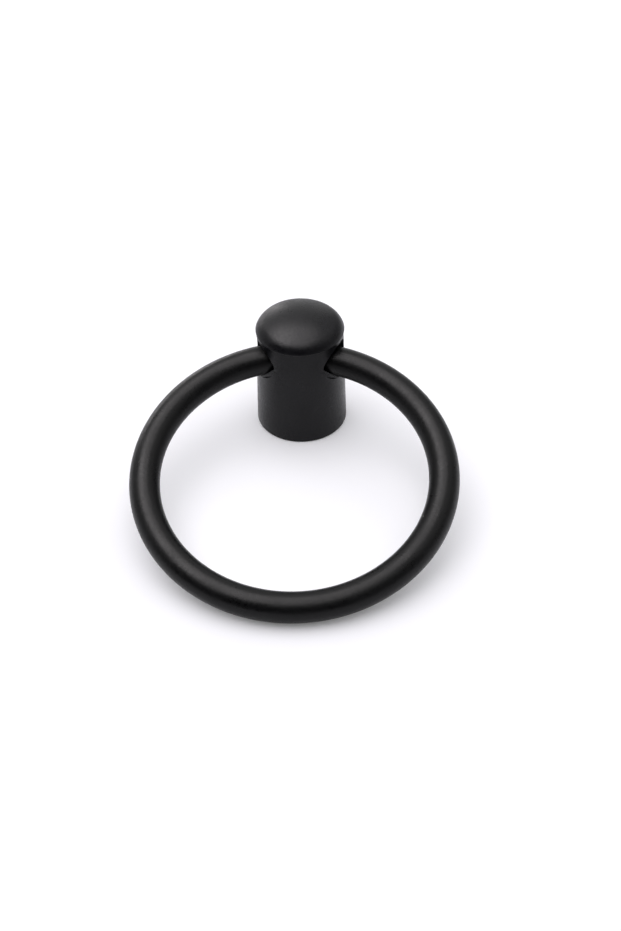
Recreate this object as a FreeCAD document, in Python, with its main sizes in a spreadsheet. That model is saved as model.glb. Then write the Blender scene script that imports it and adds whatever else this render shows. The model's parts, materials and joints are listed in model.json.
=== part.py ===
# Ring pull handle for a drawer or cabinet door: a cast post and the round ring that swings in it.
# The base of the post stands on the mounting face at z = 0, its axis is Z, and the ring lies towards -Y.
import FreeCAD, Part
import math
import os
import Sketcher

DOCUMENT = FreeCAD.newDocument("ring_pull")
FULL_TURN = 360

# How a sketch names the points of an edge, its two axes and its own origin.
START, END, CENTRE = range(1, 4)
LEVEL_AXIS, UPRIGHT_AXIS = range(-1, -3, -1)
SKETCH_ORIGIN = (LEVEL_AXIS, START)

# Driving sizes in millimetres and degrees.
SIZES = {
    "post_height": 22.6,
    "post_base_diameter": 16.0,
    "neck_diameter": 15.17,
    "cap_height": 3.2,
    "cap_overhang": 0.2,
    "crown_radius": 14.9,
    "shoulder_radius": 3.0,
    "lip_round": 0.1,
    "base_round": 0.3,
    "head_thickness": 4.05,
    "front_wall": 1.5,
    "mouth_round": 0.15,
    "rod_diameter": 5.15,
    "ring_outside_diameter": 55.3,
    "ring_drop": 0.5,
    "ring_clearance": 0.08,
    "thread_drill_diameter": 3.3,
    "thread_lead_in": 0.35,
    "lead_in_angle": 90.0,
    "thread_end_wall": 0.8,
    "drill_point_angle": 118.0,
}

# Sizes that follow from the driving ones, so that the ring always clears its hole and rests on z = 0.
FITS = {
    "base_radius": "sizes.post_base_diameter / 2",
    "neck_radius": "sizes.neck_diameter / 2",
    "lip_radius": "neck_radius + sizes.cap_overhang",
    "lip_height": "sizes.post_height - sizes.cap_height",
    "rod_radius": "sizes.rod_diameter / 2",
    "ring_radius": "sizes.ring_outside_diameter / 2 - rod_radius",
    # How far the ring curves out of line across the width of the post.
    "ring_bow": "ring_radius - sqrt(ring_radius ^ 2 - base_radius ^ 2)",
    # The ring is set back by half its bow, so the rod keeps the same room at mid-hole and at the mouths.
    "ring_set_back": "ring_bow / 2",
    # Its weight keeps it a little below the middle of the hole.
    "hole_radius": "rod_radius + sqrt(ring_set_back ^ 2 + sizes.ring_drop ^ 2) + sizes.ring_clearance",
    "hole_height": "sizes.post_height - sizes.head_thickness - hole_radius",
    "wall_radius": "base_radius - (base_radius - neck_radius) * hole_height / lip_height",
    "hole_forward": "wall_radius - sizes.front_wall - hole_radius",
    "ring_span": "2 * ring_radius - ring_set_back",
    "drop_angle": "atan(sizes.ring_drop / ring_span)",
    "rest_tilt": "asin((hole_height - rod_radius) / sqrt(ring_span ^ 2 + sizes.ring_drop ^ 2)) - drop_angle",
    "drill_point_height": "sizes.thread_drill_diameter / 2 / tan(sizes.drill_point_angle * 1 deg / 2)",
    "thread_depth": "hole_height - hole_radius - sizes.thread_end_wall - drill_point_height",
    "lead_in_flare": "sizes.thread_lead_in * tan(sizes.lead_in_angle * 1 deg / 2)",
    "lead_in_diameter": "sizes.thread_drill_diameter + 2 * lead_in_flare",
}


def add_sheet(label, cells):
    """Make a spreadsheet with a name in column A and its value, under that alias, in column B."""
    sheet = DOCUMENT.addObject("Spreadsheet::Sheet", label)
    for row, (alias, value) in enumerate(cells.items(), start=1):
        text = value if isinstance(value, float) else "=" + value
        sheet.set(f"A{row}", alias)
        sheet.set(f"B{row}", str(text))
        sheet.setAlias(f"B{row}", alias)
    DOCUMENT.recompute()
    return sheet


def add_sketch(body, name, plane_role):
    """Add a sketch to a body, flat on one of that body's own origin planes."""
    plane = next(item for item in body.Origin.OriginFeatures if item.Role == plane_role)
    sketch = body.newObject("Sketcher::SketchObject", name)
    sketch.AttachmentSupport = [(plane, "")]
    sketch.MapMode = "FlatFace"
    return sketch


def add_size(sketch, name, constraint, expression):
    """Add a named constraint to a sketch and bind it to an expression."""
    index = sketch.addConstraint(constraint)
    sketch.renameConstraint(index, name)
    sketch.setExpression(f"Constraints.{name}", expression)


def add_fillet(body, name, belongs, radius_expression):
    """Round every edge of the body's present shape that passes the test."""
    DOCUMENT.recompute()
    base = body.Tip
    edges = [
        f"Edge{number}"
        for number, edge in enumerate(base.Shape.Edges, start=1)
        if not edge.Degenerated and belongs(edge)
    ]
    fillet = body.newObject("PartDesign::Fillet", name)
    fillet.Base = (base, edges)
    fillet.setExpression("Radius", radius_expression)
    DOCUMENT.recompute()
    return fillet


def is_level_circle(edge, radius, height):
    """Tell whether an edge is a full turn about the post's axis at this radius and height."""
    near = 1e-4
    points = edge.discretize(5)
    return all(
        abs(math.hypot(point.x, point.y) - radius) < near and abs(point.z - height) < near
        for point in points
    )


def is_hole_mouth(edge, radius, forward, height):
    """Tell whether an edge is where the cross hole breaks out of the post."""
    near = 1e-3
    points = edge.discretize(7)
    on_wall = all(
        abs(math.hypot(point.y + forward, point.z - height) - radius) < near
        for point in points
    )
    return on_wall and edge.Curve.TypeId != "Part::GeomLine"


def check_cut(feature, base):
    """Stop if a feature that should take material away missed the solid before it."""
    DOCUMENT.recompute()
    if feature.Shape.Volume >= base.Shape.Volume:
        raise RuntimeError(f"{feature.Name} cut nothing")


def build_post(fits):
    """Tapered post with a domed cap, a cross hole for the ring and a blind screw hole in its base."""
    body = DOCUMENT.addObject("PartDesign::Body", "post")
    body.Label = "post"

    # Half section in the YZ plane, so that the seam of the turned form is at the back of the post.
    profile = add_sketch(body, "post_profile", "YZ_Plane")
    origin = FreeCAD.Vector(0, 0, 0)
    base_edge = FreeCAD.Vector(fits.base_radius, 0, 0)
    neck_edge = FreeCAD.Vector(fits.neck_radius, fits.lip_height, 0)
    lip_edge = FreeCAD.Vector(fits.lip_radius, fits.lip_height, 0)
    crown_top = FreeCAD.Vector(0, SIZES["post_height"], 0)
    shoulder_radius = SIZES["shoulder_radius"]
    crown_radius = SIZES["crown_radius"]
    crown_centre = FreeCAD.Vector(0, SIZES["post_height"] - crown_radius, 0)
    # The shoulder's arc starts at the lip and ends where it touches the crown's arc from inside.
    centre_gap = crown_radius - shoulder_radius
    lip_gap = lip_edge - crown_centre
    bend = math.acos((centre_gap ** 2 + lip_gap.Length ** 2 - shoulder_radius ** 2)
                     / (2 * centre_gap * lip_gap.Length))
    crown_start = math.atan2(lip_gap.y, lip_gap.x) + bend
    crown_direction = FreeCAD.Vector(math.cos(crown_start), math.sin(crown_start), 0)
    shoulder_centre = crown_centre + crown_direction * centre_gap
    lip_reach = lip_edge - shoulder_centre
    shoulder_start = math.atan2(lip_reach.y, lip_reach.x)
    flat = FreeCAD.Vector(0, 0, 1)
    base_line = profile.addGeometry(Part.LineSegment(origin, base_edge))
    wall_line = profile.addGeometry(Part.LineSegment(base_edge, neck_edge))
    ledge_line = profile.addGeometry(Part.LineSegment(neck_edge, lip_edge))
    shoulder_circle = Part.Circle(shoulder_centre, flat, shoulder_radius)
    shoulder_arc = profile.addGeometry(Part.ArcOfCircle(shoulder_circle, shoulder_start, crown_start))
    crown_circle = Part.Circle(crown_centre, flat, crown_radius)
    crown_arc = profile.addGeometry(Part.ArcOfCircle(crown_circle, crown_start, math.pi / 2))
    axis_line = profile.addGeometry(Part.LineSegment(crown_top, origin))
    profile.addConstraint(Sketcher.Constraint("Coincident", base_line, START, *SKETCH_ORIGIN))
    profile.addConstraint(Sketcher.Constraint("Horizontal", base_line))
    profile.addConstraint(Sketcher.Constraint("Coincident", base_line, END, wall_line, START))
    profile.addConstraint(Sketcher.Constraint("Coincident", wall_line, END, ledge_line, START))
    profile.addConstraint(Sketcher.Constraint("Horizontal", ledge_line))
    profile.addConstraint(Sketcher.Constraint("Coincident", ledge_line, END, shoulder_arc, START))
    profile.addConstraint(Sketcher.Constraint("Tangent", shoulder_arc, END, crown_arc, START))
    profile.addConstraint(Sketcher.Constraint("Coincident", crown_arc, END, axis_line, START))
    profile.addConstraint(Sketcher.Constraint("Coincident", axis_line, END, base_line, START))
    profile.addConstraint(Sketcher.Constraint("PointOnObject", crown_arc, END, UPRIGHT_AXIS))
    profile.addConstraint(Sketcher.Constraint("PointOnObject", crown_arc, CENTRE, UPRIGHT_AXIS))
    add_size(profile, "base_reach", Sketcher.Constraint("DistanceX", base_line, START, base_line, END,
             fits.base_radius), "fits.base_radius")
    add_size(profile, "neck_reach", Sketcher.Constraint("DistanceX", *SKETCH_ORIGIN, wall_line, END,
             fits.neck_radius), "fits.neck_radius")
    add_size(profile, "lip_level", Sketcher.Constraint("DistanceY", *SKETCH_ORIGIN, wall_line, END,
             fits.lip_height), "fits.lip_height")
    add_size(profile, "overhang", Sketcher.Constraint("DistanceX", ledge_line, START, ledge_line, END,
             SIZES["cap_overhang"]), "sizes.cap_overhang")
    add_size(profile, "shoulder_size", Sketcher.Constraint("Radius", shoulder_arc, shoulder_radius),
             "sizes.shoulder_radius")
    add_size(profile, "crown_size", Sketcher.Constraint("Radius", crown_arc, crown_radius),
             "sizes.crown_radius")
    add_size(profile, "crown_level", Sketcher.Constraint("DistanceY", *SKETCH_ORIGIN, crown_arc, END,
             SIZES["post_height"]), "sizes.post_height")

    turned = body.newObject("PartDesign::Revolution", "turned_post")
    turned.Profile = profile
    turned.ReferenceAxis = (profile, ["V_Axis"])
    turned.Angle = FULL_TURN
    add_fillet(body, "soft_lip", lambda edge: is_level_circle(edge, fits.lip_radius, fits.lip_height),
               "sizes.lip_round")
    softened = add_fillet(body, "base_edge", lambda edge: is_level_circle(edge, fits.base_radius, 0),
                          "sizes.base_round")

    hole_section = add_sketch(body, "cross_hole_section", "YZ_Plane")
    hole_centre = FreeCAD.Vector(-fits.hole_forward, fits.hole_height, 0)
    circle = hole_section.addGeometry(Part.Circle(hole_centre, FreeCAD.Vector(0, 0, 1), fits.hole_radius))
    add_size(hole_section, "hole_size", Sketcher.Constraint("Radius", circle, fits.hole_radius),
             "fits.hole_radius")
    add_size(hole_section, "forward", Sketcher.Constraint("DistanceX", circle, CENTRE, *SKETCH_ORIGIN,
             fits.hole_forward), "fits.hole_forward")
    add_size(hole_section, "height", Sketcher.Constraint("DistanceY", *SKETCH_ORIGIN, circle, CENTRE,
             fits.hole_height), "fits.hole_height")
    cross_hole = body.newObject("PartDesign::Pocket", "cross_hole")
    cross_hole.Profile = hole_section
    cross_hole.Type = "ThroughAll"
    cross_hole.SideType = "Symmetric"
    check_cut(cross_hole, softened)

    screw_centre = add_sketch(body, "screw_hole_centre", "XY_Plane")
    drill_radius = SIZES["thread_drill_diameter"] / 2
    mark = screw_centre.addGeometry(Part.Circle(origin, FreeCAD.Vector(0, 0, 1), drill_radius))
    screw_centre.addConstraint(Sketcher.Constraint("Coincident", mark, CENTRE, *SKETCH_ORIGIN))
    add_size(screw_centre, "drill_size", Sketcher.Constraint("Diameter", mark, 2 * drill_radius),
             "sizes.thread_drill_diameter")
    DOCUMENT.recompute()
    screw_hole = body.newObject("PartDesign::Hole", "screw_hole")
    screw_hole.Profile = screw_centre
    screw_hole.Reversed = True
    screw_hole.DepthType = "Dimension"
    screw_hole.DrillPoint = "Angled"
    screw_hole.DrillForDepth = False
    screw_hole.HoleCutType = "Countersink"
    screw_hole.HoleCutCustomValues = True
    screw_hole.setExpression("Diameter", "sizes.thread_drill_diameter")
    screw_hole.setExpression("Depth", "fits.thread_depth")
    screw_hole.setExpression("DrillPointAngle", "sizes.drill_point_angle")
    screw_hole.setExpression("HoleCutDiameter", "fits.lead_in_diameter")
    screw_hole.setExpression("HoleCutCountersinkAngle", "sizes.lead_in_angle")
    check_cut(screw_hole, cross_hole)

    add_fillet(body, "hole_mouths",
               lambda edge: is_hole_mouth(edge, fits.hole_radius, fits.hole_forward, fits.hole_height),
               "sizes.mouth_round")
    return body


def build_ring(fits):
    """Closed ring of round rod, turned about its own centre, with the swing axis at the body's origin."""
    body = DOCUMENT.addObject("PartDesign::Body", "ring")
    body.Label = "ring"
    section = add_sketch(body, "rod_section", "YZ_Plane")
    rod_centre = FreeCAD.Vector(fits.ring_set_back, -SIZES["ring_drop"], 0)
    ring_centre_y = fits.ring_set_back - fits.ring_radius
    rod = section.addGeometry(Part.Circle(rod_centre, FreeCAD.Vector(0, 0, 1), fits.rod_radius))
    axis_foot = FreeCAD.Vector(ring_centre_y, 0, 0)
    axis_head = FreeCAD.Vector(ring_centre_y, fits.rod_radius, 0)
    turn_axis = section.addGeometry(Part.LineSegment(axis_foot, axis_head), True)
    section.addConstraint(Sketcher.Constraint("PointOnObject", turn_axis, START, LEVEL_AXIS))
    section.addConstraint(Sketcher.Constraint("Vertical", turn_axis))
    add_size(section, "rod_size", Sketcher.Constraint("Radius", rod, fits.rod_radius), "fits.rod_radius")
    add_size(section, "set_back", Sketcher.Constraint("DistanceX", *SKETCH_ORIGIN, rod, CENTRE,
             fits.ring_set_back), "fits.ring_set_back")
    add_size(section, "drop", Sketcher.Constraint("DistanceY", rod, CENTRE, *SKETCH_ORIGIN,
             SIZES["ring_drop"]), "sizes.ring_drop")
    add_size(section, "ring_reach", Sketcher.Constraint("DistanceX", turn_axis, START, rod, CENTRE,
             fits.ring_radius), "fits.ring_radius")
    add_size(section, "axis_length", Sketcher.Constraint("DistanceY", turn_axis, START, turn_axis, END,
             fits.rod_radius), "fits.rod_radius")

    turned = body.newObject("PartDesign::Revolution", "turned_ring")
    turned.Profile = section
    turned.ReferenceAxis = (section, ["Axis0"])
    turned.Angle = FULL_TURN
    # The swing axis lies on the cross hole's axis, and the far side of the ring rests on the mounting face.
    tilt = FreeCAD.Rotation(FreeCAD.Vector(1, 0, 0), fits.rest_tilt.Value)
    body.Placement = FreeCAD.Placement(FreeCAD.Vector(0, -fits.hole_forward, fits.hole_height), tilt)
    body.setExpression("Placement.Base.y", "-fits.hole_forward")
    body.setExpression("Placement.Base.z", "fits.hole_height")
    body.setExpression("Placement.Rotation.Angle", "fits.rest_tilt")
    return body


def check_document(bodies):
    """Stop if any object of the document failed or any body has no valid shape."""
    for item in DOCUMENT.Objects:
        if "Invalid" in item.State or "Error" in item.State:
            raise RuntimeError(f"{item.Name} is {item.State}")
    for body in bodies:
        if body.Shape.isNull() or not body.Shape.isValid():
            raise RuntimeError(f"{body.Label} has no valid shape")


def main():
    add_sheet("sizes", SIZES)
    fits = add_sheet("fits", FITS)
    bodies = [build_post(fits), build_ring(fits)]
    DOCUMENT.recompute()
    check_document(bodies)
    os.makedirs("parts", exist_ok=True)
    for body in bodies:
        body.Shape.exportStep(os.path.join("parts", body.Label + ".step"))
        print(body.Label, f"{body.Shape.Volume:.1f} cubic mm")


main()
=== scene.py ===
import json
import math

import bmesh
import bpy
import numpy as np
from mathutils import Matrix, Vector


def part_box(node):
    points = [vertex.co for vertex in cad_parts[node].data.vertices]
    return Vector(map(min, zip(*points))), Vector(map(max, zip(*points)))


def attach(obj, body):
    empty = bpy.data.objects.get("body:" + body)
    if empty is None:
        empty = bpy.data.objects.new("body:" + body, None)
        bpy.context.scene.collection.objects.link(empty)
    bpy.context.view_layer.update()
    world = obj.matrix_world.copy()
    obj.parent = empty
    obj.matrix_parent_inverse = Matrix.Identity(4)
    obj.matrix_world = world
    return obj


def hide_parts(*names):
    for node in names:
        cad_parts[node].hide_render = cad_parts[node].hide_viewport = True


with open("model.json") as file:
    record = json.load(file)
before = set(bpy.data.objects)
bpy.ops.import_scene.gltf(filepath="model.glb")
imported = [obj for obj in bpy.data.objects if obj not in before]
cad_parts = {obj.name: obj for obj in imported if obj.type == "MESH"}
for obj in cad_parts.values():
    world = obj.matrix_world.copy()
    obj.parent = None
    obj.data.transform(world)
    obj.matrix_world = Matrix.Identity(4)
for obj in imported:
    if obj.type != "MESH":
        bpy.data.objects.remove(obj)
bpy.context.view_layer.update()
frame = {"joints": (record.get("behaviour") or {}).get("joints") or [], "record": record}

# The look of the ring pull: a satin black post with a tapped base, and the round-rod ring that swings in
# it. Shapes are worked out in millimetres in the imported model's frame and go into the meshes in metres.
MM = 0.001

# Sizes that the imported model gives.
POST_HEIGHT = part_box("post")[1].z / MM
RING_LOW, RING_HIGH = (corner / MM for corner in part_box("ring"))
SWING = Vector(frame["joints"][0]["pos_m"]) / MM
SCREW_HOLE = next(mount for mount in frame["record"]["mounts"] if mount["name"] == "screw_hole")

# Sizes of the post that its box doesn't show. The base's radius is that of its sharp corner, before the
# round.
BASE_RADIUS = 8.0
NECK_RADIUS = 7.585
CAP_HEIGHT = 3.2
CAP_OVERHANG = 0.2
CROWN_RADIUS = 14.9
SHOULDER_RADIUS = 3.0
LIP_ROUND = 0.1
BASE_ROUND = 0.3
MOUTH_ROUND = 0.15
LEAD_IN = 0.35
DRILL_POINT_ANGLE = math.radians(118)
LIP_HEIGHT = POST_HEIGHT - CAP_HEIGHT
WALL_LEAN = math.atan2(BASE_RADIUS - NECK_RADIUS, LIP_HEIGHT)

# The ring, which hangs a little below the middle of its hole, and the size of the hole that its bow and
# drop need.
ROD_RADIUS = 2.575
RING_DROP = 0.5
RING_CLEARANCE = 0.08
RING_CENTRE = (RING_LOW + RING_HIGH) / 2
RING_HALF = (RING_HIGH - RING_LOW) / 2 - Vector((ROD_RADIUS, ROD_RADIUS, ROD_RADIUS))
RING_RADIUS = RING_HALF.x
RING_BOW = RING_RADIUS - math.sqrt(RING_RADIUS ** 2 - BASE_RADIUS ** 2)
RING_TILT = math.atan2(RING_HALF.z, RING_HALF.y)
HOLE_RADIUS = ROD_RADIUS + math.hypot(RING_BOW / 2, RING_DROP) + RING_CLEARANCE

# The M4 thread in the post's base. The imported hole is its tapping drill, so the grooves go outwards from
# there.
DRILL_RADIUS = SCREW_HOLE["dims"]["r_mm"]
THREAD_LENGTH = SCREW_HOLE["dims"]["length_mm"]
THREAD_PITCH = 0.7
THREAD_DEPTH = 0.36


def linear(hex_colour):
    """Turn an sRGB hex colour into the linear colour that a shader takes."""
    channels = [int(hex_colour[i:i + 2], 16) / 255 for i in (1, 3, 5)]
    return tuple(c / 12.92 if c <= 0.04045 else ((c + 0.055) / 1.055) ** 2.4 for c in channels) + (1.0,)


def add(tree, kind, inputs=None, **settings):
    """Add a node with its settings, and give its sockets a value or a link from another node's output."""
    node = tree.nodes.new(kind)
    for name, value in settings.items():
        setattr(node, name, value)
    for socket, value in (inputs or {}).items():
        if isinstance(value, bpy.types.NodeSocket):
            tree.links.new(value, node.inputs[socket])
        else:
            node.inputs[socket].default_value = value
    return node


def new_material(name):
    """Start an empty material and return it with its node tree."""
    material = bpy.data.materials.new(name)
    material.use_nodes = True
    material.node_tree.nodes.clear()
    return material, material.node_tree


def satin_black_coat(name, deep, pale, shine, speck_seed):
    """Black powder coat, sprayed and baked on cast zinc alloy: a deep satin black with soft broad
    highlights. Close up it has a faint orange peel, a fine grit and a few pale specks of dust."""
    # The real grit is too fine to show in the render, so it is drawn as coarse as it needs to show.
    peel_size, peel_height = 1.3 * MM, 0.006 * MM
    grit_size, grit_height = 0.45 * MM, 0.02 * MM
    cloud_size = 5.0 * MM
    mottle_low, mottle_high = 0.7, 1.3
    smoothest, roughest = 0.26, 0.44
    material, tree = new_material(name)
    place = add(tree, "ShaderNodeTexCoord").outputs["Object"]
    peel = add(tree, "ShaderNodeTexNoise", {"Vector": place, "Scale": 1 / peel_size, "Detail": 1.0})
    grit = add(tree, "ShaderNodeTexNoise", {"Vector": place, "Scale": 1 / grit_size, "Detail": 2.0})
    cloud = add(tree, "ShaderNodeTexNoise", {"Vector": place, "Scale": 1 / cloud_size, "Detail": 3.0})

    # Specks sit in a few of the cells of a coarse scatter. Each is a small spot at its cell's middle, with
    # its rim and its core given as shares of the cell.
    cell_size, speck_rim, speck_core, bare_cells = 2.2 * MM, 0.085, 0.055, 0.92
    shifted = add(tree, "ShaderNodeMapping", {"Vector": place, "Location": (speck_seed * MM, 0.0, 0.0)})
    cell = add(tree, "ShaderNodeTexVoronoi", {"Vector": shifted.outputs["Vector"], "Scale": 1 / cell_size})
    spot = add(tree, "ShaderNodeMapRange", {"Value": cell.outputs["Distance"], "From Min": speck_rim,
                                            "From Max": speck_core})
    pick = add(tree, "ShaderNodeSeparateColor", {"Color": cell.outputs["Color"]})
    chosen = add(tree, "ShaderNodeMath", {0: pick.outputs["Red"], 1: bare_cells}, operation="GREATER_THAN")
    speck = add(tree, "ShaderNodeMath", {0: spot.outputs["Result"], 1: chosen.outputs["Value"]},
                operation="MULTIPLY")

    black = add(tree, "ShaderNodeMix", {"Factor": grit.outputs["Fac"], "A": linear(deep),
                                        "B": linear(pale)}, data_type="RGBA")
    colour = add(tree, "ShaderNodeMix", {"Factor": speck.outputs["Value"], "A": black.outputs["Result"],
                                         "B": linear("#787874")}, data_type="RGBA")

    # The gloss wanders a little from place to place, and the peel and the grit stand up as a faint relief.
    mottle = add(tree, "ShaderNodeMath", {0: cloud.outputs["Fac"], 1: grit.outputs["Fac"]}, operation="ADD")
    gloss = add(tree, "ShaderNodeMapRange", {
        "Value": mottle.outputs["Value"], "From Min": mottle_low, "From Max": mottle_high,
        "To Min": smoothest, "To Max": roughest})
    waves = add(tree, "ShaderNodeBump", {"Height": peel.outputs["Fac"], "Strength": 1.0,
                                         "Distance": peel_height})
    texture = add(tree, "ShaderNodeBump", {"Height": grit.outputs["Fac"], "Strength": 1.0,
                                           "Distance": grit_height, "Normal": waves.outputs["Normal"]})
    surface = add(tree, "ShaderNodeBsdfPrincipled", {
        "Base Color": colour.outputs["Result"], "Roughness": gloss.outputs["Result"], "IOR": 1.5,
        "Specular IOR Level": shine, "Normal": texture.outputs["Normal"]})
    add(tree, "ShaderNodeOutputMaterial", {"Surface": surface.outputs["BSDF"]})
    return material


def bare_zinc():
    """Zinc alloy laid bare by the tap: a dull bluish grey metal, with fine turning marks round the hole."""
    mark_length, mark_slimness = 0.9 * MM, 12.0
    material, tree = new_material("Tapped zinc alloy")
    place = add(tree, "ShaderNodeTexCoord").outputs["Object"]
    flat = add(tree, "ShaderNodeMapping", {"Vector": place, "Scale": (1.0, 1.0, mark_slimness)})
    marks = add(tree, "ShaderNodeTexNoise", {"Vector": flat.outputs["Vector"], "Scale": 1 / mark_length,
                                             "Detail": 2.0})
    grey = add(tree, "ShaderNodeMix", {"Factor": marks.outputs["Fac"], "A": linear("#7c7f84"),
                                       "B": linear("#a4a7aa")}, data_type="RGBA")
    gloss = add(tree, "ShaderNodeMapRange", {"Value": marks.outputs["Fac"], "To Min": 0.3, "To Max": 0.5})
    surface = add(tree, "ShaderNodeBsdfPrincipled", {
        "Base Color": grey.outputs["Result"], "Roughness": gloss.outputs["Result"], "Metallic": 1.0})
    add(tree, "ShaderNodeOutputMaterial", {"Surface": surface.outputs["BSDF"]})
    return material


def wall_radius(height):
    """Radius of the post's tapered wall at a height."""
    return BASE_RADIUS - height * math.tan(WALL_LEAN)


def on_wall(turn, height):
    """Point of the tapered wall at a turn from the front (-Y) towards +X."""
    radius = wall_radius(height)
    return Vector((radius * math.sin(turn), -radius * math.cos(turn), height))


def rounded_corner(corner, along_a, along_b, radius, steps):
    """Arc that rounds the corner between two straight runs that leave it along two unit vectors."""
    half = along_a.angle(along_b) / 2
    centre = corner + (along_a + along_b).normalized() * (radius / math.sin(half))
    reach = radius / math.tan(half)
    first = (corner + along_a * reach - centre).normalized()
    last = (corner + along_b * reach - centre).normalized()
    return [centre + first.slerp(last, i / steps) * radius for i in range(steps + 1)]


def post_profile(wall_heights):
    """Half section of the post as (radius, height), from the screw hole's mouth over the base, wall, lip
    and shoulder to the crown. Returns it with the row numbers of the first and last of the given wall
    heights."""
    base_steps, base_round_steps, lower_steps = 5, 6, 6
    lip_steps, shoulder_steps, crown_steps = 8, 20, 18
    inwards = Vector((-1.0, 0.0))
    up_wall = Vector((-math.sin(WALL_LEAN), math.cos(WALL_LEAN)))
    base_arc = rounded_corner(Vector((BASE_RADIUS, 0.0)), inwards, up_wall, BASE_ROUND, base_round_steps)

    # The cap's shoulder starts at the lip and touches the crown's sphere from inside.
    crown_centre = Vector((0.0, POST_HEIGHT - CROWN_RADIUS))
    lip = Vector((NECK_RADIUS + CAP_OVERHANG, LIP_HEIGHT)) - crown_centre
    reach = CROWN_RADIUS - SHOULDER_RADIUS
    bend = math.acos((reach ** 2 + lip.length_squared - SHOULDER_RADIUS ** 2) / (2 * reach * lip.length))
    crown_start = math.atan2(lip.y, lip.x) + bend
    shoulder_centre = crown_centre + reach * Vector((math.cos(crown_start), math.sin(crown_start)))
    rise = LIP_HEIGHT + LIP_ROUND - shoulder_centre.y
    run = math.sqrt((SHOULDER_RADIUS - LIP_ROUND) ** 2 - rise ** 2)
    shoulder_start = math.atan2(rise, run)

    def arc(centre, radius, start_angle, end_angle, steps):
        angles = [start_angle + (end_angle - start_angle) * i / steps for i in range(steps + 1)]
        return [centre + radius * Vector((math.cos(angle), math.sin(angle))) for angle in angles]

    base_row = [Vector((DRILL_RADIUS + LEAD_IN, 0.0)).lerp(base_arc[0], i / base_steps)
                for i in range(base_steps)]
    wall_start = base_arc[-1].y
    lower_wall = [wall_start + (wall_heights[0] - wall_start) * i / lower_steps
                  for i in range(1, lower_steps)]
    lower_row = [Vector((wall_radius(height), height)) for height in lower_wall]
    wall_row = [Vector((wall_radius(height), height)) for height in wall_heights]
    neck = [Vector((NECK_RADIUS, LIP_HEIGHT))]
    lip_centre = shoulder_centre + Vector((run, rise))
    lip_row = arc(lip_centre, LIP_ROUND, -math.pi / 2, shoulder_start, lip_steps)
    shoulder_row = arc(shoulder_centre, SHOULDER_RADIUS, shoulder_start, crown_start, shoulder_steps)[1:]
    crown_row = arc(crown_centre, CROWN_RADIUS, crown_start, math.pi / 2, crown_steps)[1:-1]
    before = base_row + base_arc + lower_row
    profile = before + wall_row + neck + lip_row + shoulder_row + crown_row
    return profile, len(before), len(before) + len(wall_row) - 1


def mouth_section(angle, steps):
    """Rounded edge of the cross hole's mouth on the +X side, at an angle round the hole's axis: points from
    the post's wall, round the edge, to the hole's wall."""
    def edge_point(at):
        y = SWING.y + HOLE_RADIUS * math.cos(at)
        z = SWING.z + HOLE_RADIUS * math.sin(at)
        return Vector((math.sqrt(wall_radius(z) ** 2 - y ** 2), y, z))

    small_turn = 1e-3
    corner = edge_point(angle)
    outwards = Vector((0.0, math.cos(angle), math.sin(angle)))
    along_edge = (edge_point(angle + small_turn) - edge_point(angle - small_turn)).normalized()
    turn = math.atan2(corner.x, -corner.y)
    wall_normal = Vector((math.sin(turn) * math.cos(WALL_LEAN), -math.cos(turn) * math.cos(WALL_LEAN),
                          math.sin(WALL_LEAN)))
    along_wall = along_edge.cross(wall_normal).normalized()
    along_wall *= math.copysign(1.0, along_wall.dot(outwards))
    into_hole = along_edge.cross(outwards).normalized()
    into_hole *= -math.copysign(1.0, into_hole.x)
    return rounded_corner(corner, along_wall, into_hole, MOUTH_ROUND, steps)


def mouth_angles(loop):
    """Angles round the cross hole that face the (turn, height) points of a loop around its mouth."""
    half_degrees = 720
    angles = np.linspace(-math.pi, math.pi, half_degrees + 1)
    samples = [mouth_section(angle, 1)[0] for angle in angles]
    turns = np.array([math.atan2(point.x, -point.y) for point in samples])
    heights = np.array([point.z for point in samples])
    middle = (turns.min() + turns.max()) / 2
    reach = wall_radius(SWING.z)
    seen = np.unwrap(np.arctan2(heights - SWING.z, (turns - middle) * reach))
    wanted = [math.atan2(height - SWING.z, (turn - middle) * reach) for turn, height in loop]
    order = np.argsort(seen)
    return np.interp(wanted, seen[order], angles[order], period=2 * math.pi)


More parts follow.
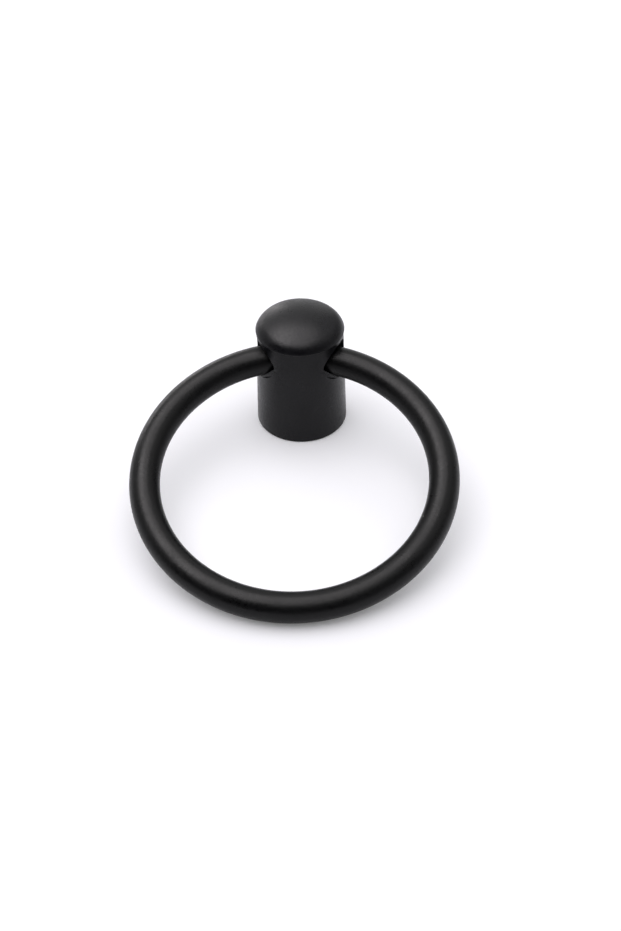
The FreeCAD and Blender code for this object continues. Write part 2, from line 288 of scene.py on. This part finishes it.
def cast_post(coat, bare):
    """The post as one closed mesh: a turned form with the cross hole let into its wall and the tapped hole
    in its base. Round each mouth of the cross hole the wall has a window with a grid of its own, between a
    first and a last column either side of the front."""
    columns, window_rings, mouth_steps, hole_steps = 192, 9, 10, 16
    thread_rows = 130
    run_out_rows = thread_rows / 9
    sharp_angle = math.radians(30)
    first, last = 12, 55
    window_low, window_height, window_rows = 9.4, 9.5, 22
    wall_heights = [window_low + window_height * i / window_rows for i in range(window_rows + 1)]
    profile, low_row, high_row = post_profile(wall_heights)
    turns = [2 * math.pi * i / columns for i in range(columns)]
    mesh = bmesh.new()
    share = mesh.verts.layers.float.new("thread_share")

    def vert(point):
        return mesh.verts.new(Vector(point) * MM)

    def stitch(row_a, row_b):
        for i in range(len(row_a)):
            j = (i + 1) % len(row_a)
            mesh.faces.new((row_a[i], row_a[j], row_b[j], row_b[i]))

    # Turned form, left open where the windows are.
    def in_window(column):
        return first < column < last or first < columns - column < last

    grid = []
    for row, (radius, height) in enumerate(profile):
        inside = low_row < row < high_row
        grid.append([
            None if inside and in_window(column)
            else vert((radius * math.sin(turn), -radius * math.cos(turn), height))
            for column, turn in enumerate(turns)
        ])
    for row, (row_a, row_b) in enumerate(zip(grid, grid[1:])):
        for i in range(columns):
            j = (i + 1) % columns
            in_columns = first <= i < last or first <= columns - j < last
            if not (in_columns and low_row <= row < high_row):
                mesh.faces.new((row_a[i], row_a[j], row_b[j], row_b[i]))
    top = vert((0.0, 0.0, POST_HEIGHT))
    for i in range(columns):
        mesh.faces.new((grid[-1][i], grid[-1][(i + 1) % columns], top))

    # Windows: rings of faces from the window's frame in to the rounded mouth, and the hole's wall between
    # the two mouths.
    frame_places = [(low_row, c) for c in range(first, last)]
    frame_places += [(r, last) for r in range(low_row, high_row)]
    frame_places += [(high_row, c) for c in range(last, first, -1)]
    frame_places += [(r, first) for r in range(high_row, low_row, -1)]
    angles = mouth_angles([(turns[column], profile[row].y) for row, column in frame_places])
    sections = [mouth_section(angle, mouth_steps) for angle in angles]
    ends = []
    for side in (1, -1):
        outer = [grid[row][(side * column) % columns] for row, column in frame_places]
        for window_ring in range(1, window_rings + 1):
            blend = window_ring / window_rings
            inner = []
            for (row, column), section in zip(frame_places, sections):
                touch = section[0]
                turn = math.atan2(touch.x, -touch.y)
                point = on_wall(turns[column] + (turn - turns[column]) * blend,
                                profile[row].y + (touch.z - profile[row].y) * blend)
                inner.append(vert((side * point.x, point.y, point.z)))
            stitch(outer, inner)
            outer = inner
        for step in range(1, mouth_steps + 1):
            inner = [vert((side * section[step].x, *section[step].yz)) for section in sections]
            stitch(outer, inner)
            outer = inner
        ends.append(outer)
    previous = ends[0]
    for step in range(1, hole_steps + 1):
        blend = step / hole_steps
        current = ends[1] if step == hole_steps else [
            mesh.verts.new(a.co.lerp(b.co, blend)) for a, b in zip(*ends)]
        stitch(previous, current)
        previous = current

    # Screw hole: a lead-in, the wall that takes the thread, and the drill's point. The thread runs out at
    # both ends of the wall.
    previous = grid[0]
    for row in range(thread_rows + 1):
        height = LEAD_IN + THREAD_LENGTH * row / thread_rows
        from_end = min(row, thread_rows - row)
        current = [vert((DRILL_RADIUS * math.sin(turn), -DRILL_RADIUS * math.cos(turn), height))
                   for turn in turns]
        for thread_vert in current:
            thread_vert[share] = min(1.0, from_end / run_out_rows)
        stitch(previous, current)
        previous = current
    point_length = DRILL_RADIUS / math.tan(DRILL_POINT_ANGLE / 2)
    tip = vert((0.0, 0.0, LEAD_IN + THREAD_LENGTH + point_length))
    for i in range(columns):
        mesh.faces.new((previous[i], previous[(i + 1) % columns], tip))

    bmesh.ops.recalc_face_normals(mesh, faces=mesh.faces)
    for face in mesh.faces:
        face.smooth = True
    for edge in mesh.edges:
        edge.smooth = edge.calc_face_angle() < sharp_angle
    data = bpy.data.meshes.new("post_body")
    mesh.to_mesh(data)
    mesh.free()
    post = bpy.data.objects.new("post_body", data)
    bpy.context.scene.collection.objects.link(post)
    grow(post, thread_tree(), {"Pitch": THREAD_PITCH * MM, "Depth": THREAD_DEPTH * MM, "Coat": coat,
                               "Bare metal": bare})
    return post


def new_tree(name, sockets):
    """Start a geometry node tree with a geometry going in and out, and named inputs for its sizes."""
    tree = bpy.data.node_groups.new(name, "GeometryNodeTree")
    tree.interface.new_socket("Geometry", in_out="INPUT", socket_type="NodeSocketGeometry")
    tree.interface.new_socket("Geometry", in_out="OUTPUT", socket_type="NodeSocketGeometry")
    for label, kind in sockets.items():
        tree.interface.new_socket(label, in_out="INPUT", socket_type="NodeSocket" + kind)
    return tree, add(tree, "NodeGroupInput").outputs


def thread_tree():
    """Cuts the thread's grooves: each point of the hole's wall moves outwards by a saw-tooth of its height
    and turn, so the grooves climb one pitch in each turn. The crest and the root are flat, and the flanks
    lie between them, at shares of the pitch counted from the crest's middle."""
    crest_end, root_start, half_pitch = 0.1, 0.44, 0.5
    tree, given = new_tree("tapped_thread", {"Pitch": "Float", "Depth": "Float", "Coat": "Material",
                                             "Bare metal": "Material"})
    place = add(tree, "GeometryNodeInputPosition").outputs["Position"]
    spot = add(tree, "ShaderNodeSeparateXYZ", {"Vector": place})
    angle = add(tree, "ShaderNodeMath", {0: spot.outputs["Y"], 1: spot.outputs["X"]}, operation="ARCTAN2")
    turn = add(tree, "ShaderNodeMath", {0: angle.outputs["Value"], 1: 2 * math.pi}, operation="DIVIDE")
    rise = add(tree, "ShaderNodeMath", {0: spot.outputs["Z"], 1: given["Pitch"]}, operation="DIVIDE")
    climb = add(tree, "ShaderNodeMath", {0: rise.outputs["Value"], 1: turn.outputs["Value"]},
                operation="SUBTRACT")
    tooth = add(tree, "ShaderNodeMath", {0: climb.outputs["Value"], 1: half_pitch}, operation="PINGPONG")
    groove = add(tree, "ShaderNodeMapRange", {"Value": tooth.outputs["Value"], "From Min": crest_end,
                                              "From Max": root_start})
    share = add(tree, "GeometryNodeInputNamedAttribute", {"Name": "thread_share"}, data_type="FLOAT")
    full = add(tree, "ShaderNodeMath", {0: groove.outputs["Result"], 1: given["Depth"]},
               operation="MULTIPLY")
    depth = add(tree, "ShaderNodeMath", {0: full.outputs["Value"], 1: share.outputs["Attribute"]},
                operation="MULTIPLY")
    flat = add(tree, "ShaderNodeCombineXYZ", {"X": spot.outputs["X"], "Y": spot.outputs["Y"]})
    outwards = add(tree, "ShaderNodeVectorMath", {0: flat.outputs["Vector"]}, operation="NORMALIZE")
    push = add(tree, "ShaderNodeVectorMath", {0: outwards.outputs["Vector"],
                                              "Scale": depth.outputs["Value"]}, operation="SCALE")
    cut = add(tree, "GeometryNodeSetPosition", {"Geometry": given["Geometry"],
                                                "Offset": push.outputs["Vector"]})
    whole = add(tree, "GeometryNodeRealizeInstances", {"Geometry": cut.outputs["Geometry"]})
    coated = add(tree, "GeometryNodeSetMaterial", {"Geometry": whole.outputs["Geometry"],
                                                   "Material": given["Coat"]})
    in_thread = add(tree, "ShaderNodeMath", {0: share.outputs["Attribute"], 1: 0.0},
                    operation="GREATER_THAN")
    tapped = add(tree, "GeometryNodeSetMaterial", {"Geometry": coated.outputs["Geometry"],
                                                   "Selection": in_thread.outputs["Value"],
                                                   "Material": given["Bare metal"]})
    add(tree, "NodeGroupOutput", {"Geometry": tapped.outputs["Geometry"]})
    return tree


def ring_tree():
    """Draws the ring's centre line as a circle and sweeps the rod's round section along it."""
    ring_steps, rod_steps = 288, 72
    tree, given = new_tree("round_ring", {"Ring radius": "Float", "Rod radius": "Float", "Tilt": "Rotation",
                                          "Centre": "Vector", "Coat": "Material"})
    line = add(tree, "GeometryNodeCurvePrimitiveCircle", {"Resolution": ring_steps,
                                                          "Radius": given["Ring radius"]})
    rod = add(tree, "GeometryNodeCurvePrimitiveCircle", {"Resolution": rod_steps,
                                                         "Radius": given["Rod radius"]})
    swept = add(tree, "GeometryNodeCurveToMesh", {"Curve": line.outputs["Curve"],
                                                  "Profile Curve": rod.outputs["Curve"]})
    laid = add(tree, "GeometryNodeTransform", {"Geometry": swept.outputs["Mesh"], "Rotation": given["Tilt"],
                                               "Translation": given["Centre"]})
    soft = add(tree, "GeometryNodeSetShadeSmooth", {"Geometry": laid.outputs["Geometry"]})
    whole = add(tree, "GeometryNodeRealizeInstances", {"Geometry": soft.outputs["Geometry"]})
    coated = add(tree, "GeometryNodeSetMaterial", {"Geometry": whole.outputs["Geometry"],
                                                   "Material": given["Coat"]})
    add(tree, "NodeGroupOutput", {"Geometry": coated.outputs["Geometry"]})
    return tree


def grow(piece, tree, sizes):
    """Run a geometry node tree on a piece with these sizes, and keep the result as its plain mesh."""
    modifier = piece.modifiers.new(tree.name, "NODES")
    modifier.node_group = tree
    for item in tree.interface.items_tree:
        if item.in_out == "INPUT" and item.name in sizes:
            modifier[item.identifier] = sizes[item.name]
    graph = bpy.context.evaluated_depsgraph_get()
    finished = bpy.data.meshes.new_from_object(piece.evaluated_get(graph), depsgraph=graph)
    piece.modifiers.remove(modifier)
    piece.data = finished


def round_ring(coat):
    """The closed ring of round rod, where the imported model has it."""
    ring = bpy.data.objects.new("ring_rod", bpy.data.meshes.new("ring_rod"))
    bpy.context.scene.collection.objects.link(ring)
    grow(ring, ring_tree(), {"Ring radius": RING_RADIUS * MM, "Rod radius": ROD_RADIUS * MM,
                             "Tilt": (RING_TILT, 0.0, 0.0), "Centre": RING_CENTRE * MM, "Coat": coat})
    return ring


# Studio: a pale floor, soft boxes and dark cards, in metres and degrees. An azimuth is counted from the
# camera's side (-Y) towards +X.
def direction(azimuth, elevation):
    """Unit vector from the pull towards an azimuth and elevation."""
    turn, rise = math.radians(azimuth), math.radians(elevation)
    return Vector((math.sin(turn) * math.cos(rise), -math.cos(turn) * math.cos(rise), math.sin(rise)))


def soft_box(name, azimuth, elevation, distance, width, height, brightness, lights_floor=True):
    """Soft box that faces the pull. A brightness of 1 looks white. One that doesn't light the floor is a
    panel that only shows in the coat's sheen."""
    lamp = bpy.data.lights.new(name, "AREA")
    lamp.shape = "RECTANGLE"
    lamp.size = width
    lamp.size_y = height
    lamp.energy = brightness * math.pi * width * height
    lamp.color = linear("#fffafc")[:3]
    box = bpy.data.objects.new(name, lamp)
    towards = direction(azimuth, elevation)
    box.location = towards * distance
    box.rotation_euler = towards.to_track_quat("Z", "Y").to_euler()
    box.visible_diffuse = lights_floor
    bpy.context.scene.collection.objects.link(box)


def seen_directly(tree):
    """Factor that is 1 for rays that come straight from the camera, off gloss or through glass."""
    path = add(tree, "ShaderNodeLightPath").outputs
    glossy = add(tree, "ShaderNodeMath", {0: path["Is Camera Ray"], 1: path["Is Glossy Ray"]},
                 operation="MAXIMUM")
    return add(tree, "ShaderNodeMath", {0: glossy.outputs["Value"], 1: path["Is Transmission Ray"]},
               operation="MAXIMUM").outputs["Value"]


def pale_floor():
    """White sheet that the pull lies on, with its soft shadow. Further off it fades into the white room."""
    glow_strength, fade_from, fade_to = 0.16, 0.13, 0.4
    material, tree = new_material("Matt white paper")
    paper = add(tree, "ShaderNodeBsdfDiffuse", {"Color": linear("#e6e6eb")})
    glow = add(tree, "ShaderNodeEmission", {"Color": linear("#ffffff"), "Strength": glow_strength})
    lit = add(tree, "ShaderNodeAddShader", {0: paper.outputs["BSDF"], 1: glow.outputs["Emission"]})
    place = add(tree, "ShaderNodeTexCoord").outputs["Object"]
    away = add(tree, "ShaderNodeVectorMath", {0: place}, operation="LENGTH")
    fade = add(tree, "ShaderNodeMapRange", {"Value": away.outputs["Value"], "From Min": fade_from,
                                            "From Max": fade_to})
    room = add(tree, "ShaderNodeEmission", {"Color": linear("#ffffff"), "Strength": 1.0})
    faded = add(tree, "ShaderNodeMixShader", {0: fade.outputs["Result"], 1: lit.outputs["Shader"],
                                              2: room.outputs["Emission"]})
    shown = add(tree, "ShaderNodeMixShader", {0: seen_directly(tree), 1: paper.outputs["BSDF"],
                                              2: faded.outputs["Shader"]})
    add(tree, "ShaderNodeOutputMaterial", {"Surface": shown.outputs["Shader"]})

    # The sheet lies a hair below the post's base, so that the two faces don't show through each other.
    reach, level = 4.0, -0.02 * MM
    data = bpy.data.meshes.new("paper_floor")
    data.from_pydata([(x * reach, y * reach, level) for x, y in ((-1, -1), (1, -1), (1, 1), (-1, 1))], [],
                     [(0, 1, 2, 3)])
    data.materials.append(material)
    floor = bpy.data.objects.new("paper_floor", data)
    bpy.context.scene.collection.objects.link(floor)


def dark_card(name, azimuth_from, azimuth_to, elevation, shade):
    """Card bent round the pull that stands on the floor and reaches up to an elevation, kept out of the
    camera's sight. A shade of 0 is black and 1 is white."""
    material, tree = new_material("Card " + name)
    tone = add(tree, "ShaderNodeEmission", {"Color": linear("#ffffff"), "Strength": shade})
    add(tree, "ShaderNodeOutputMaterial", {"Surface": tone.outputs["Emission"]})
    distance, steps = 0.9, 24
    top = distance * math.tan(math.radians(elevation))
    points, faces = [], []
    for i in range(steps + 1):
        foot = direction(azimuth_from + (azimuth_to - azimuth_from) * i / steps, 0) * distance
        points += [tuple(foot), (foot.x, foot.y, top)]
    for i in range(steps):
        faces.append((2 * i, 2 * i + 2, 2 * i + 3, 2 * i + 1))
    data = bpy.data.meshes.new(name)
    data.from_pydata(points, [], faces)
    data.materials.append(material)
    card = bpy.data.objects.new(name, data)
    card.visible_camera = False
    bpy.context.scene.collection.objects.link(card)


def white_surround():
    """White room that the camera and gloss see, and an even fill light from it."""
    fill_strength, seen_strength = 1.2, 1.0
    world = bpy.data.worlds.new("White room")
    world.use_nodes = True
    tree = world.node_tree
    tree.nodes.clear()
    fill = add(tree, "ShaderNodeBackground", {"Color": linear("#ffffff"), "Strength": fill_strength})
    white = add(tree, "ShaderNodeBackground", {"Color": linear("#ffffff"), "Strength": seen_strength})
    shown = add(tree, "ShaderNodeMixShader", {0: seen_directly(tree), 1: fill.outputs["Background"],
                                              2: white.outputs["Background"]})
    add(tree, "ShaderNodeOutputWorld", {"Surface": shown.outputs["Shader"]})
    bpy.context.scene.world = world


def photo_camera():
    """Camera at the photograph's place, for an image of 621 by 931 pixels whose long side is the sensor's
    width."""
    focus_pixels, long_side_pixels = 1809.45, 931
    azimuth, elevation, roll_angle, distance = 3.143, 42.304, -1.288, 0.3090
    target = Vector((2.432, -20.317, 5.721)) * MM
    lens = bpy.data.cameras.new("photo_camera")
    lens.sensor_width = 36.0
    lens.lens = lens.sensor_width * focus_pixels / long_side_pixels
    lens.clip_start = 0.01
    camera = bpy.data.objects.new("photo_camera", lens)
    backwards = direction(azimuth, elevation)
    level = backwards.to_track_quat("Z", "Y").to_matrix()
    roll = Matrix.Rotation(math.radians(roll_angle), 3, "Z")
    camera.matrix_world = Matrix.Translation(target + backwards * distance) @ (level @ roll).to_4x4()
    bpy.context.scene.collection.objects.link(camera)
    bpy.context.scene.camera = camera


# The post's coat is given a slightly bluer black than the ring's. This is a painted reflection: it stands
# in for the bluish surroundings that the post's wall reflects.
post_coat = satin_black_coat("Satin black powder coat on the post", deep="#060608", pale="#0b0b10",
                             shine=0.205, speck_seed=0.0)
ring_coat = satin_black_coat("Satin black powder coat on the ring", deep="#060607", pale="#0b0b0c",
                             shine=0.178, speck_seed=7.0)
post = cast_post(post_coat, bare_zinc())
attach(post, "post")
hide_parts("post")
ring = round_ring(ring_coat)
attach(ring, "ring")
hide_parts("ring")

pale_floor()
white_surround()
soft_box("key_box", azimuth=-105, elevation=62, distance=0.7, width=0.5, height=0.4, brightness=3.0,
         lights_floor=False)
soft_box("top_box", azimuth=-95, elevation=80, distance=0.7, width=0.8, height=0.7, brightness=1.3)
soft_box("top_panel", azimuth=-95, elevation=80, distance=0.72, width=0.8, height=0.7, brightness=2.05,
         lights_floor=False)
dark_card("front_card", azimuth_from=-35, azimuth_to=30, elevation=48, shade=0.03)
dark_card("front_right_card", azimuth_from=30, azimuth_to=75, elevation=48, shade=0.22)
dark_card("front_left_card", azimuth_from=-75, azimuth_to=-35, elevation=40, shade=0.05)
dark_card("left_card", azimuth_from=-135, azimuth_to=-75, elevation=38, shade=0.55)
dark_card("right_card", azimuth_from=75, azimuth_to=160, elevation=34, shade=0.47)
soft_box("back_box", azimuth=-150, elevation=9, distance=0.8, width=0.5, height=0.16, brightness=3.9)
photo_camera()
bpy.context.scene.view_settings.view_transform = "Standard"
